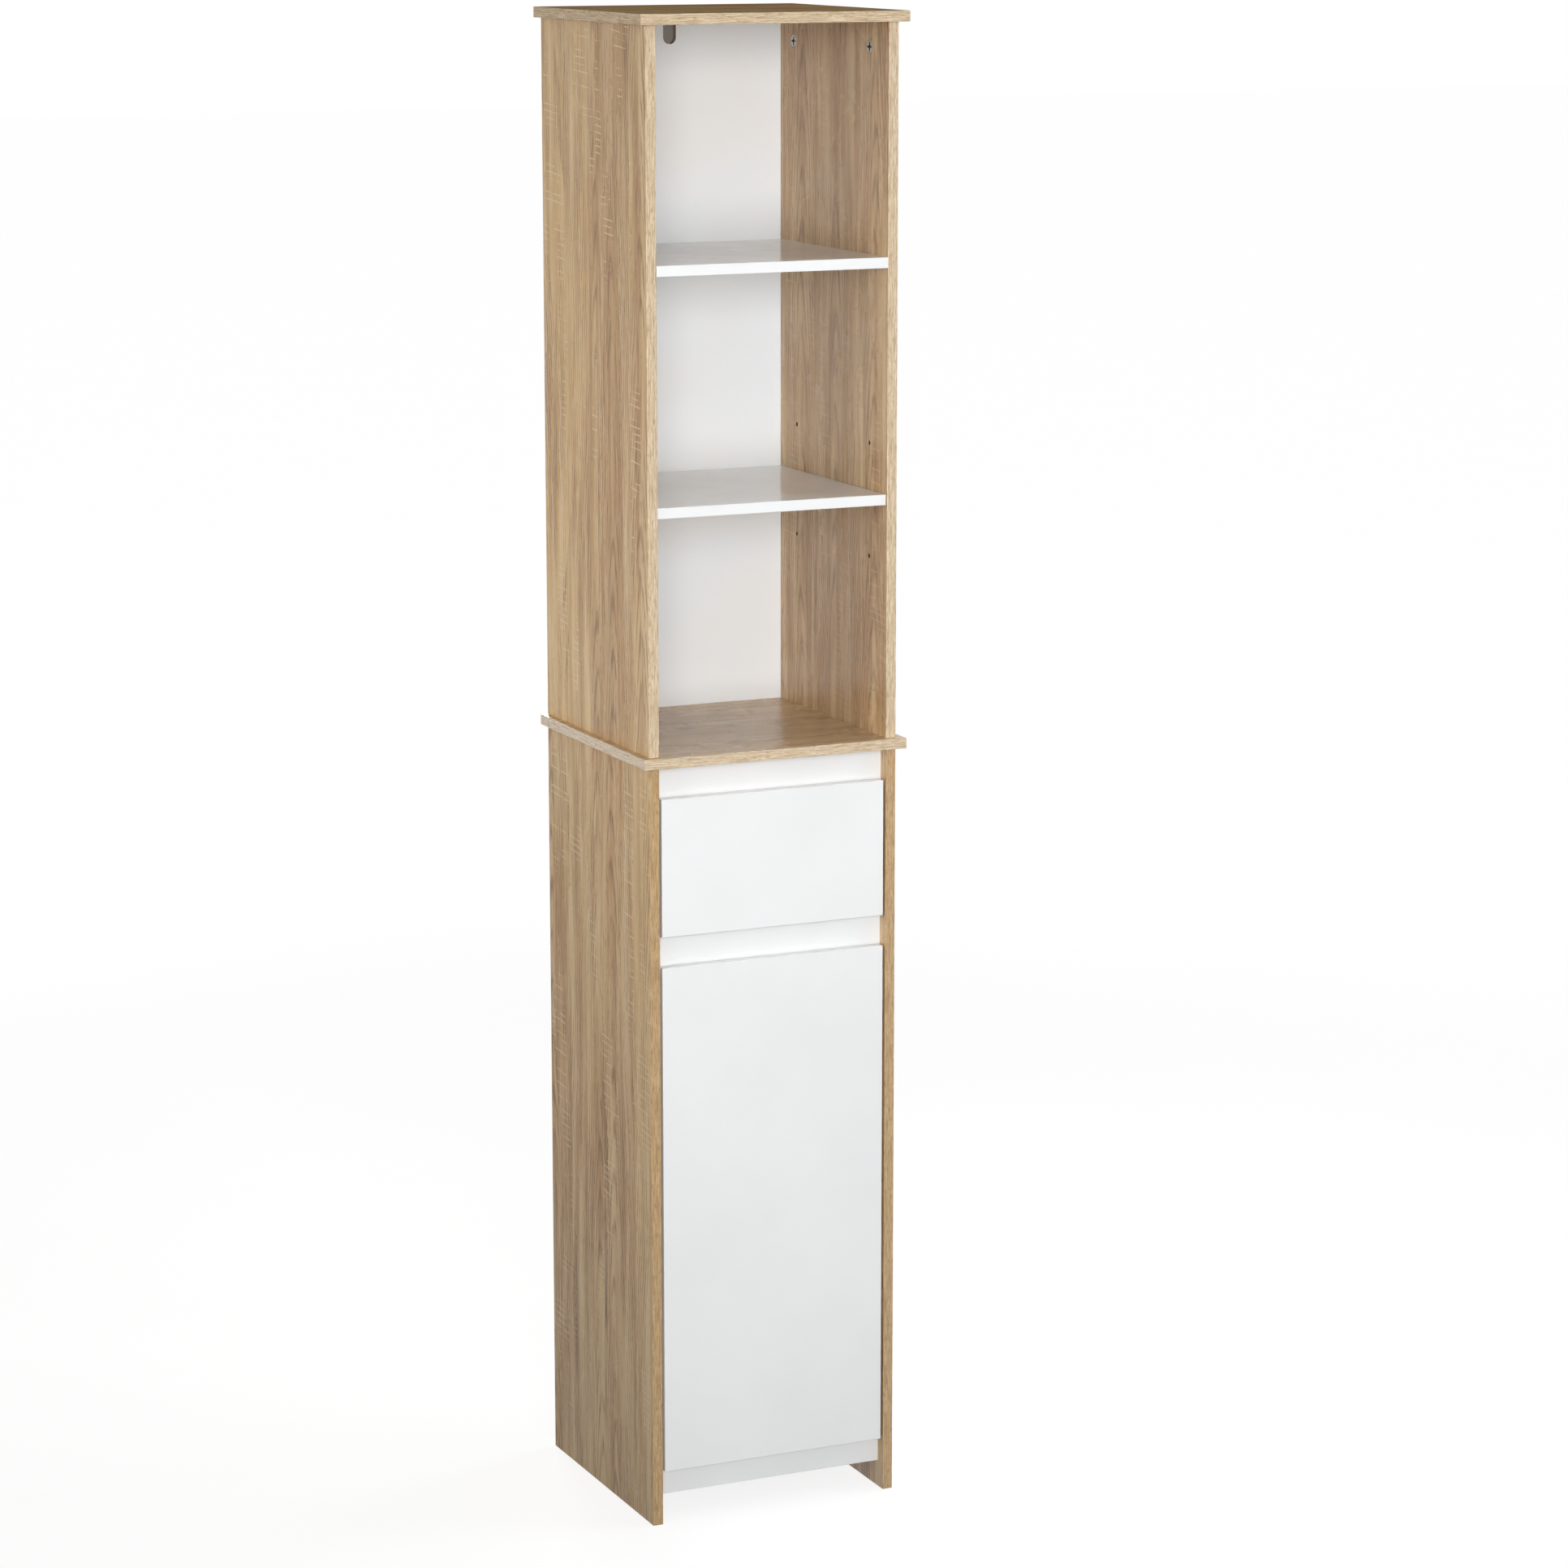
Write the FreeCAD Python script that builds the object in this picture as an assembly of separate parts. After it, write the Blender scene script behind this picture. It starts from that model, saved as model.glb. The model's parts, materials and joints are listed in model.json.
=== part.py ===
"""Tall slim bathroom cabinet: three open bays above, a drawer and a hinged door below.

Millimetres. +Z is up, the front faces -Y, and the origin is the middle of the footprint on the floor.
"""
import FreeCAD, Part
import os

Vector = FreeCAD.Vector
X_AXIS = Vector(1, 0, 0)
Y_AXIS = Vector(0, 1, 0)
Z_AXIS = Vector(0, 0, 1)
LEFT = -1
RIGHT = 1
SIDES = (LEFT, RIGHT)

# Boards and the carcass
board = 12.0
inner_width = 278.0
side_depth = 300.0
side_overhang = 9.0
front_overhang = 10.0
back_thickness = 3.0
back_inset = 12.0
groove_depth = 5.0
groove_play = 0.1
band_edge_radius = 0.6
notch_width = 16.0
notch_depth = 32.0

# Heights, stacked up from the floor
toe_gap = 31.0
plinth_height = 29.0
door_bottom_gap = 2.0
door_height = 589.0
door_grip_height = 33.0
drawer_bottom_gap = 2.0
drawer_front_height = 156.5
drawer_grip_height = 36.5
low_bay_height = 264.0
middle_bay_height = 252.0
top_bay_height = 257.0

# Fronts
front_side_gap = 2.8
rail_setback = 2.0
rail_overlap = 12.0
front_edge_radius = 1.0

# Shelves and their pins
shelf_setback = 2.0
lower_shelf_setback = 26.0
shelf_play = 0.7
lower_shelf_height = 300.0
pin_radius = 2.5
pin_reach = 8.0
pin_hole_floor = 4.0
pin_lift = 1.1
pin_row_pitch = 64.0
pin_front_depth = 46.0
pin_rear_depth = 60.0

# Cam locks, bolts, dowels and screws
fit_play = 0.1
cam_radius = 7.5
cam_floor = 2.5
cam_sink = 0.2
cam_setback = 29.0
cam_edge_depth = 50.0
cam_slot_length = 10.0
cam_slot_width = 1.6
cam_slot_depth = 1.5
bolt_thread_radius = 3.0
bolt_thread_floor = 4.0
bolt_shank_radius = 2.5
bolt_neck_radius = 1.6
bolt_neck_length = 5.0
bolt_head_radius = 2.4
bolt_head_half = 2.0
dowel_radius = 3.0
dowel_short_floor = 4.0
dowel_long = 16.0
dowel_bottoming = 0.4
dowel_offset = 35.0
lower_joint_offset = 20.0
screw_radius = 1.75
screw_head_radius = 3.5
screw_head_height = 2.0
screw_slot_length = 3.0
screw_slot_width = 0.9
screw_slot_depth = 1.2
carcass_screw_radius = 2.0
carcass_screw_head_radius = 4.0
carcass_screw_length = 40.0

# Drawer box and roller runners
runner_space = 12.5
drawer_side_height = 98.0
drawer_rear_space = 23.0
drawer_side_lift = 16.0
drawer_bottom_lift = 10.0
drawer_back_drop = 12.0
drawer_bottom_thickness = 3.0
drawer_cam_margin = 22.0
runner_steel = 1.0
runner_lead = 2.0
runner_screw_tab = 14.0
runner_screw_length = 10.0
roller_radius = 7.7
roller_width = 4.0
roller_gap = 0.3
roller_lip_gap = 1.3
roller_side_gap = 0.5
roller_end_margin = 10.0
axle_radius = 2.0
axle_play = 0.05
axle_head_radius = 3.0
axle_head_width = 0.6
runner_foot = 8.0
runner_screw_margin = 30.0
drawer_screw_length = 14.0

# Concealed single-axis hinges on the right
hinge_end_margin = 80.0
hinge_pin_inset = 5.0
hinge_pin_radius = 1.5
hinge_pin_play = 0.05
hinge_knuckle_radius = 2.5
hinge_knuckle_half = 6.6
hinge_ear_gap = 0.4
hinge_ear_thickness = 3.0
hinge_pin_overhang = 0.6
hinge_notch_play = 0.5
hinge_cup_radius = 13.0
hinge_cup_depth = 9.0
hinge_cup_wall = 1.0
hinge_flange_thickness = 1.2
hinge_flange_half = 21.0
hinge_flange_half_width = 11.0
hinge_cup_screw_spread = 17.0
hinge_neck_thickness = 2.5
hinge_arm_start = 18.0
hinge_arm_length = 46.0
hinge_arm_half = 6.0
hinge_arm_steel = 1.2
hinge_plate_thickness = 3.0
hinge_plate_half = 24.0
hinge_plate_half_depth = 7.0
hinge_plate_screw_spread = 16.0
hinge_plate_screw_depth = 50.0
hinge_screw_length = 11.0
hinge_cup_screw_length = 9.0

# Magnetic catch on the left
catch_drop = 45.0
catch_width = 14.0
catch_depth = 15.0
catch_half = 18.0
catch_wall = 2.5
catch_gap = 0.8
strike_thickness = 1.2
strike_inset = 2.0
strike_half = 14.0
strike_width = 11.0

# Wall bracket behind the notch
bracket_half = 20.0
bracket_steel = 1.5
bracket_drop = 32.0
bracket_hole_drop = 7.0
bracket_hole_radius = 2.75
bracket_screw_spread = 13.0
bracket_screw_length = 9.0

# Levels and planes worked out from the sizes above
carcass_half = inner_width / 2 + board
inner_half = inner_width / 2
overall_depth = side_depth + front_overhang
front_y = front_overhang - overall_depth / 2
top_half_width = carcass_half + side_overhang
back_front = side_depth - back_inset - back_thickness
rail_depth = board + rail_setback

plinth_top = toe_gap + plinth_height
door_bottom = plinth_top + door_bottom_gap
door_top = door_bottom + door_height
middle_rail_bottom = door_top - rail_overlap
middle_rail_top = door_top + door_grip_height
drawer_front_bottom = middle_rail_top + drawer_bottom_gap
drawer_front_top = drawer_front_bottom + drawer_front_height
top_rail_bottom = drawer_front_top - rail_overlap
mid_bottom = drawer_front_top + drawer_grip_height
mid_top = mid_bottom + board
adjustable_bottom = mid_top + low_bay_height
fixed_bottom = adjustable_bottom + board + middle_bay_height
top_bottom = fixed_bottom + board + top_bay_height
lower_shelf_bottom = plinth_top + lower_shelf_height

front_half = inner_half - front_side_gap
pin_depths = (pin_front_depth, side_depth - pin_rear_depth)
cam_depths = (cam_edge_depth, side_depth - cam_edge_depth)
lower_cam_depths = (cam_edge_depth + lower_joint_offset, side_depth - cam_edge_depth - lower_joint_offset)
dowel_depths = (cam_edge_depth + dowel_offset, side_depth - cam_edge_depth - dowel_offset)
lower_dowel_depths = (lower_cam_depths[0] + dowel_offset, lower_cam_depths[1] - dowel_offset)

box_half = inner_half - runner_space
drawer_side_bottom = drawer_front_bottom + drawer_side_lift
drawer_side_top = drawer_side_bottom + drawer_side_height
drawer_floor_bottom = drawer_side_bottom + drawer_bottom_lift
drawer_floor_top = drawer_floor_bottom + drawer_bottom_thickness
drawer_back_depth = back_front - drawer_rear_space

drawer_foot_bottom = drawer_side_bottom - runner_steel
channel_reach = runner_steel + 2 * roller_side_gap + roller_width
front_roller_start = channel_reach + roller_side_gap
drawer_web_start = runner_space - runner_steel
runner_front = board + runner_lead
runner_rear = drawer_back_depth
roller_axis_z = drawer_foot_bottom + roller_radius
track_bottom = roller_axis_z + roller_radius + roller_gap
front_roller_depth = runner_front + roller_end_margin
rear_roller_depth = runner_rear - roller_end_margin
runner_screw_depths = (runner_front + runner_screw_margin, runner_rear - runner_screw_margin)

hinge_heights = (door_bottom + hinge_end_margin, door_top - hinge_end_margin)
hinge_axis_x = inner_half - front_side_gap - hinge_pin_inset
hinge_axis_depth = board / 2
hinge_ear_start = hinge_knuckle_half + hinge_ear_gap
hinge_ear_end = hinge_ear_start + hinge_ear_thickness
hinge_notch_half = hinge_ear_end + hinge_pin_overhang + hinge_notch_play
hinge_cup_x = hinge_axis_x - hinge_knuckle_radius - hinge_notch_play - hinge_cup_radius
catch_height = door_top - catch_drop
catch_front = board + strike_thickness + catch_gap


def at(x, depth, z):
    """A point given by its depth behind the front edges of the sides."""
    return Vector(x, front_y + depth, z)


def block(x0, x1, depth0, depth1, z0, z1):
    """A box between two x, two depths and two heights."""
    low, high = min(x0, x1), max(x0, x1)
    return Part.makeBox(high - low, depth1 - depth0, z1 - z0, at(low, depth0, z0))


def rod(start, direction, radius, length):
    """A cylinder from a start point along a direction."""
    return Part.makeCylinder(radius, length, start, direction)


def cone(start, direction, radius0, radius1, length):
    """A cone frustum from a start point along a direction."""
    return Part.makeCone(radius0, radius1, length, start, direction)


def fused(shapes):
    """One solid from touching shapes."""
    return shapes[0].multiFuse(shapes[1:]).removeSplitter()


nodes = {}
holes = {}


def add_hole(node, cutter):
    """Remembers a hole that a joint needs in a board."""
    holes.setdefault(node, []).append(cutter)


def add_piece(node, shape):
    """Adds one solid to a node that holds a group of equal pieces."""
    nodes.setdefault(node, []).append(shape)


def cam_joint(cam_node, bolt_node, start, direction, face, names=("cam_locks", "cam_bolts")):
    """A cam lock in cam_node drawn onto a bolt in bolt_node.

    start lies where the boards meet, direction points into the cam's board, and face is the normal of the
    board face that the cam is let into.
    """
    cam_depth = board - cam_floor
    thread_length = board - bolt_thread_floor
    centre = start + direction * cam_setback
    mouth = centre + face * (board / 2)
    floor = mouth - face * cam_depth
    add_hole(cam_node, rod(floor, face, cam_radius + fit_play, cam_depth))
    add_hole(cam_node, rod(start, direction, bolt_shank_radius + fit_play, cam_setback))
    add_hole(bolt_node, rod(start - direction * (thread_length + dowel_bottoming), direction,
                            bolt_thread_radius + fit_play, thread_length + dowel_bottoming))
    add_piece(names[0], cam_lock(floor, centre, direction, face, cam_depth - cam_sink))
    add_piece(names[1], cam_bolt(start, direction, thread_length))


def cam_lock(floor, centre, direction, face, height):
    """A round cam with a bolt passage and a cross slot."""
    body = rod(floor, face, cam_radius, height)
    passage = rod(centre - direction * 2 * cam_radius, direction, bolt_head_radius + fit_play,
                  2 * cam_radius + bolt_head_half + fit_play)
    mouth = floor + face * height
    slots = cross_slot(mouth, direction, face, cam_slot_length, cam_slot_width, cam_slot_depth)
    return body.cut([passage] + slots)


def cross_slot(mouth, along, face, length, width, depth):
    """Two bars that cut a cross slot into a face at mouth."""
    return [slot_bar(mouth, arm, face, length, width, depth) for arm in (along, along.cross(face))]


def slot_bar(mouth, along, face, length, width, depth):
    """A bar that cuts one arm of a cross slot."""
    across = along.cross(face)
    corner = mouth - face * depth - along * (length / 2) - across * (width / 2)
    points = [corner, corner + along * length, corner + along * length + across * width,
              corner + across * width]
    outline = Part.makePolygon(points + points[:1])
    return Part.Face(outline).extrude(face * 2 * depth)


def slotted(screw, mouth, direction):
    """A screw with a cross slot in its head, whose top is at mouth."""
    along = X_AXIS if abs(direction.dot(Z_AXIS)) > 0.5 else Z_AXIS
    return screw.cut(cross_slot(mouth, along, -direction, screw_slot_length, screw_slot_width,
                                screw_slot_depth))


def cam_bolt(start, direction, thread_length):
    """A bolt with a plain thread, a shank, a thin neck and a head inside the cam."""
    shank_length = cam_setback - bolt_head_half - bolt_neck_length
    thread = rod(start - direction * thread_length, direction, bolt_thread_radius, thread_length)
    shank = rod(start, direction, bolt_shank_radius, shank_length)
    neck = rod(start + direction * shank_length, direction, bolt_neck_radius, bolt_neck_length)
    head = rod(start + direction * (cam_setback - bolt_head_half), direction, bolt_head_radius,
               2 * bolt_head_half)
    return fused([thread, shank, neck, head])


def dowel_joint(short_node, long_node, start, direction, long_length=None):
    """A wooden dowel across a joint, with its longer end along direction."""
    long_length = long_length or dowel_long
    short_length = board - dowel_short_floor
    tail = start - direction * short_length
    add_hole(short_node, rod(tail - direction * dowel_bottoming, direction, dowel_radius + fit_play,
                             short_length + dowel_bottoming))
    add_hole(long_node, rod(start, direction, dowel_radius + fit_play, long_length + dowel_bottoming))
    add_piece("dowels", rod(tail, direction, dowel_radius, short_length + long_length))


def pan_screw(group, seat, direction, length, node=None, radius=screw_radius, through=0.0):
    """A pan-head screw whose head rests on seat and whose shank runs along direction.

    through is the thickness of the piece that the screw passes before it bites in node.
    """
    shank = rod(seat, direction, radius, length)
    top = seat - direction * screw_head_height
    head = rod(top, direction, screw_head_radius, screw_head_height)
    add_piece(group, slotted(fused([shank, head]), top, direction))
    if node:
        add_hole(node, rod(seat + direction * through, direction, radius + fit_play,
                           length - through + dowel_bottoming))


def countersunk_screw(group, mouth, direction, length, first_node, second_node, first_thickness):
    """A flat-head screw let in flush at mouth, through first_node into second_node."""
    head_length = carcass_screw_head_radius - carcass_screw_radius
    head = cone(mouth, direction, carcass_screw_head_radius, carcass_screw_radius, head_length)
    shank = rod(mouth, direction, carcass_screw_radius, length)
    add_piece(group, slotted(fused([head, shank]), mouth, direction))
    hole = rod(mouth, direction, carcass_screw_radius + fit_play, first_thickness)
    sink = cone(mouth, direction, carcass_screw_head_radius + fit_play, carcass_screw_radius + fit_play,
                head_length)
    add_hole(first_node, fused([hole, sink]))
    add_hole(second_node, rod(mouth + direction * first_thickness, direction, carcass_screw_radius + fit_play,
                              length - first_thickness + dowel_bottoming))


def side_name(prefix, side):
    """The name of the left or right one of a pair."""
    return prefix + ("_left" if side == LEFT else "_right")


def runs_along(edge, axis):
    """True for a straight edge parallel to an axis."""
    return abs(edge.tangentAt(edge.FirstParameter).dot(axis)) > 0.5


def softened_front(panel, axis):
    """Rounds the edges of a board's front that run along an axis."""
    front = panel.BoundBox.YMin
    edges = [edge for edge in panel.Edges
             if edge.BoundBox.YMax < front + fit_play and runs_along(edge, axis)]
    return panel.makeFillet(band_edge_radius, edges)


def side_board(side, bottom, top):
    """A side board with a soft front edge and the groove that holds the back panel."""
    panel = block(side * inner_half, side * carcass_half, 0, side_depth, bottom, top)
    panel = softened_front(panel, Z_AXIS)
    groove = block(side * inner_half, side * (inner_half + groove_depth), back_front - groove_play,
                   back_front + back_thickness + groove_play, bottom, top)
    return panel.cut(groove)


def pin_holes(side, bottom, node):
    """Three rows of shelf-pin holes round one shelf."""
    depth = board - pin_hole_floor + fit_play
    for depth_back in pin_depths:
        for row in (-1, 0, 1):
            height = bottom + pin_lift + row * pin_row_pitch
            mouth = at(side * inner_half, depth_back, height)
            add_hole(node, rod(mouth, X_AXIS * side, pin_radius + fit_play, depth))


def shelf_pins(group, bottom):
    """The four pins that carry one shelf."""
    length = board - pin_hole_floor
    for side in SIDES:
        for depth_back in pin_depths:
            start = at(side * (inner_half - pin_reach), depth_back, bottom + pin_lift)
            add_piece(group, rod(start, X_AXIS * side, pin_radius, pin_reach + length))


def adjustable_shelf(bottom, setback):
    """A loose shelf with slots that drop over its pins."""
    half = inner_half - shelf_play
    shelf = block(-half, half, setback, back_front - shelf_play, bottom, bottom + board)
    shelf = softened_front(shelf, X_AXIS)
    slots = []
    for side in SIDES:
        for depth_back in pin_depths:
            reach = inner_half - pin_reach - shelf_play
            slots.append(block(side * reach, side * inner_half, depth_back - pin_radius - shelf_play,
                               depth_back + pin_radius + shelf_play, bottom,
                               bottom + pin_lift + pin_radius))
    return shelf.cut(slots)


def fixed_shelf(bottom):
    """The shelf that ties the upper sides together."""
    shelf = block(-inner_half, inner_half, 0, back_front, bottom, bottom + board)
    return softened_front(shelf, X_AXIS)


def cover_panel(bottom):
    """The top or mid panel, wider and deeper than the carcass, with every edge soft but those at the rear."""
    panel = block(-top_half_width, top_half_width, -front_overhang, side_depth, bottom, bottom + board)
    rear = panel.BoundBox.YMax
    return panel.makeFillet(band_edge_radius, [edge for edge in panel.Edges
                                               if edge.BoundBox.YMin < rear - fit_play])


def back_panel(bottom, top):
    """A thin back that slides in the grooves of the sides."""
    half = inner_half + groove_depth - groove_play
    return block(-half, half, back_front, back_front + back_thickness, bottom, top)


def back_notch():
    """A round-ended notch in the top edge of the upper back."""
    radius = notch_width / 2
    straight = block(-radius, radius, back_front, back_front + back_thickness,
                     top_bottom - notch_depth + radius, top_bottom)
    end = rod(at(0, back_front, top_bottom - notch_depth + radius), Y_AXIS, radius, back_thickness)
    return fused([straight, end])


def front_board(bottom, top):
    """A drawer or door front with every edge soft."""
    panel = block(-front_half, front_half, 0, board, bottom, top)
    return panel.makeFillet(front_edge_radius, panel.Edges)


def rail(bottom, top):
    """A rail between the lower sides, set back so that the fronts pass in front of it."""
    panel = block(-inner_half, inner_half, rail_depth, rail_depth + board, bottom, top)
    return softened_front(panel, X_AXIS)


def upper_joints():
    """Joints that hold the top panel, the upper sides, the fixed shelf and the mid panel together."""
    for side in SIDES:
        upper = side_name("upper_side", side)
        middle = side * (inner_half + board / 2)
        inward = X_AXIS * -side
        for depth in cam_depths:
            cam_joint(upper, "top_panel", at(middle, depth, top_bottom), -Z_AXIS, inward)
            cam_joint("upper_fixed_shelf", upper, at(side * inner_half, depth, fixed_bottom + board / 2),
                      inward, -Z_AXIS)
        for depth in cam_depths:
            countersunk_screw("mid_panel_screws", at(middle, depth, mid_bottom), Z_AXIS, carcass_screw_length,
                              "mid_panel", upper, board)
        for depth in dowel_depths:
            dowel_joint("top_panel", upper, at(middle, depth, top_bottom), -Z_AXIS)
            dowel_joint("mid_panel", upper, at(middle, depth, mid_top), Z_AXIS)
        pin_holes(side, adjustable_bottom, upper)


def lower_joints():
    """Joints that hold the lower sides, the rails and the bottom panel together."""
    rail_middle = rail_depth + board / 2
    bottom_middle = plinth_top - board / 2
    for side in SIDES:
        lower = side_name("lower_side", side)
        middle = side * (inner_half + board / 2)
        inward = X_AXIS * -side
        for depth in lower_cam_depths:
            cam_joint(lower, "mid_panel", at(middle, depth, mid_bottom), -Z_AXIS, inward)
            cam_joint("bottom_panel", lower, at(side * inner_half, depth, bottom_middle), inward, -Z_AXIS)
        for depth in lower_dowel_depths:
            dowel_joint(lower, "bottom_panel", at(side * inner_half, depth, bottom_middle), inward)
        for name, height in (("top_rail", (top_rail_bottom + mid_bottom) / 2),
                             ("middle_rail", (middle_rail_bottom + middle_rail_top) / 2)):
            cam_joint(name, lower, at(side * inner_half, rail_middle, height), inward, Y_AXIS)
        plinth_middle = (toe_gap + plinth_top) / 2
        dowel_joint(lower, "plinth_rail", at(side * inner_half, rail_middle, plinth_middle), inward)
        pin_holes(side, lower_shelf_bottom, lower)


def runner_x(side, reach):
    """x at a given reach from the inner face of a side."""
    return side * (inner_half - reach)


def cabinet_runner(side):
    """A steel channel on the cabinet side, with a tab for its screws."""
    channel_bottom = roller_axis_z - roller_radius - roller_gap
    lip_bottom = roller_axis_z + roller_radius + roller_lip_gap
    tab_top = lip_bottom + runner_steel + runner_screw_tab
    web = block(runner_x(side, 0), runner_x(side, runner_steel), runner_front, runner_rear,
                channel_bottom - runner_steel, tab_top)
    track = block(runner_x(side, 0), runner_x(side, channel_reach), runner_front, runner_rear,
                  channel_bottom - runner_steel, channel_bottom)
    lip = block(runner_x(side, 0), runner_x(side, channel_reach), runner_front, runner_rear, lip_bottom,
                lip_bottom + runner_steel)
    inward = X_AXIS * -side
    profile = fused([web, track, lip])
    profile = profile.cut(rod(at(runner_x(side, 0), front_roller_depth, roller_axis_z), inward,
                              axle_radius + axle_play, runner_steel))
    screw_height = lip_bottom + runner_steel + runner_screw_tab / 2
    bites = []
    for depth in runner_screw_depths:
        seat = at(runner_x(side, runner_steel), depth, screw_height)
        pan_screw("cabinet_runner_screws", seat, X_AXIS * side, runner_screw_length,
                  side_name("lower_side", side), through=runner_steel)
        bites.append(rod(seat, X_AXIS * side, screw_radius + fit_play, runner_steel))
    return profile.cut(bites)


def drawer_runner(side):
    """A steel angle under the drawer side, with the track that runs on the front roller."""
    web_top = track_bottom + runner_steel
    web = block(runner_x(side, drawer_web_start), runner_x(side, runner_space), runner_front, runner_rear,
                drawer_foot_bottom, web_top)
    foot = block(runner_x(side, drawer_web_start), runner_x(side, runner_space + runner_foot), runner_front,
                 runner_rear, drawer_foot_bottom, drawer_side_bottom)
    track = block(runner_x(side, front_roller_start - roller_side_gap / 2), runner_x(side, runner_space),
                  runner_front, runner_rear, track_bottom, web_top)
    profile = fused([web, foot, track])
    axle_hole = rod(at(runner_x(side, drawer_web_start), rear_roller_depth, roller_axis_z), X_AXIS * -side,
                    axle_radius + axle_play, runner_steel)
    bites = [axle_hole]
    for depth in runner_screw_depths:
        seat = at(runner_x(side, runner_space + runner_foot / 2), depth, drawer_foot_bottom)
        pan_screw("drawer_runner_screws", seat, Z_AXIS, drawer_screw_length, side_name("drawer_side", side),
                  through=runner_steel)
        bites.append(rod(seat, Z_AXIS, screw_radius + fit_play, runner_steel))
    return profile.cut(bites)


def roller(side, start_reach, depth):
    """A grooveless plastic roller on a runner axle."""
    start = at(runner_x(side, start_reach), depth, roller_axis_z)
    inward = X_AXIS * -side
    wheel = rod(start, inward, roller_radius, roller_width)
    return wheel.cut(rod(start, inward, axle_radius + axle_play, roller_width))


def front_axle(side):
    """A headed axle from the cabinet runner to the front roller."""
    inward = X_AXIS * -side
    tip_reach = front_roller_start + roller_width + axle_play
    pin = rod(at(runner_x(side, 0), front_roller_depth, roller_axis_z), inward, axle_radius, tip_reach)
    head = rod(at(runner_x(side, tip_reach), front_roller_depth, roller_axis_z), inward, axle_head_radius,
               axle_head_width)
    collar_reach = front_roller_start - axle_play
    collar = rod(at(runner_x(side, runner_steel), front_roller_depth, roller_axis_z), inward,
                 axle_head_radius, collar_reach - runner_steel)
    return fused([pin, head, collar])


def rear_axle(side):
    """A headed axle from the drawer runner to the rear roller."""
    outward = X_AXIS * side
    roller_start = runner_steel + roller_side_gap
    tip_reach = roller_start - axle_play
    pin = rod(at(runner_x(side, runner_space), rear_roller_depth, roller_axis_z), outward, axle_radius,
              runner_space - tip_reach)
    collar_reach = roller_start + roller_width + axle_play
    collar = rod(at(runner_x(side, drawer_web_start), rear_roller_depth, roller_axis_z), outward,
                 axle_head_radius, drawer_web_start - collar_reach)
    return fused([pin, collar])


def drawer_side(side):
    """A drawer side with the groove for the drawer bottom."""
    panel = block(side * box_half, side * (box_half - board), board, drawer_back_depth, drawer_side_bottom,
                  drawer_side_top)
    inner = side * (box_half - board)
    groove = block(inner, inner + side * groove_depth, board, drawer_back_depth, drawer_floor_bottom,
                   drawer_floor_top + groove_play)
    return panel.cut(groove)


def drawer_back():
    """The drawer back, which stands on the drawer bottom between the sides."""
    half = box_half - board
    return block(-half, half, drawer_back_depth - board, drawer_back_depth, drawer_floor_top + groove_play,
                 drawer_side_top - drawer_back_drop)


def drawer_bottom():
    """The thin drawer bottom in the grooves of the sides."""
    half = box_half - board + groove_depth - groove_play
    return block(-half, half, board, drawer_back_depth, drawer_floor_bottom, drawer_floor_top)


def drawer_joints():
    """Cam locks at the drawer front and screws at the drawer back."""
    cam_heights = (drawer_floor_top + drawer_cam_margin, drawer_side_top - drawer_cam_margin)
    back_middle = (drawer_floor_top + drawer_side_top - drawer_back_drop) / 2
    back_heights = (back_middle - drawer_cam_margin, back_middle + drawer_cam_margin)
    for side in SIDES:
        name = side_name("drawer_side", side)
        middle = side * (box_half - board / 2)
        for height in cam_heights:
            cam_joint(name, "drawer_front", at(middle, board, height), Y_AXIS, X_AXIS * -side,
                      ("drawer_cam_locks", "drawer_cam_bolts"))
        for height in back_heights:
            mouth = at(side * box_half, drawer_back_depth - board / 2, height)
            countersunk_screw("drawer_back_screws", mouth, X_AXIS * -side, carcass_screw_length, name,
                              "drawer_back", board)


def hinge_notch(height):
    """The pocket in the door's back and edge that gives the hinge arm its room."""
    front = hinge_axis_depth - hinge_knuckle_radius - hinge_notch_play
    edge = front_half
    inner = hinge_cup_x
    pocket = block(inner, edge, front, board, height - hinge_notch_half, height + hinge_notch_half)
    bore = rod(at(hinge_cup_x, board - hinge_cup_depth, height), Y_AXIS, hinge_cup_radius + fit_play,
               hinge_cup_depth)
    return fused([pocket, bore])


def hinge_cup(height):
    """A steel cup with a screw flange on the door's back and two ears that hold the hinge pin."""
    bottom = board - hinge_cup_depth
    shell = rod(at(hinge_cup_x, bottom, height), Y_AXIS, hinge_cup_radius, hinge_cup_depth)
    flange = block(hinge_cup_x - hinge_flange_half_width, hinge_cup_x + hinge_flange_half_width, board,
                   board + hinge_flange_thickness, height - hinge_flange_half, height + hinge_flange_half)
    hollow = rod(at(hinge_cup_x, bottom + hinge_cup_wall, height), Y_AXIS, hinge_cup_radius - hinge_cup_wall,
                 hinge_cup_depth + hinge_flange_thickness)
    ears = []
    for side in SIDES:
        low = height + min(side * hinge_ear_start, side * hinge_ear_end)
        ears.append(hinge_ear(low))
    cup = fused([shell, flange] + ears).cut(hollow)
    pin_bore = rod(at(hinge_axis_x, hinge_axis_depth, height - hinge_notch_half), Z_AXIS,
                   hinge_pin_radius + hinge_pin_play, 2 * hinge_notch_half)
    bites = [pin_bore]
    for side in SIDES:
        seat = at(hinge_cup_x, board + hinge_flange_thickness, height + side * hinge_cup_screw_spread)
        pan_screw("hinge_cup_screws", seat, -Y_AXIS, hinge_cup_screw_length, "door",
                  through=hinge_flange_thickness)
        bites.append(rod(seat, -Y_AXIS, screw_radius + fit_play, hinge_flange_thickness))
    return cup.cut(bites)


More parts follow.
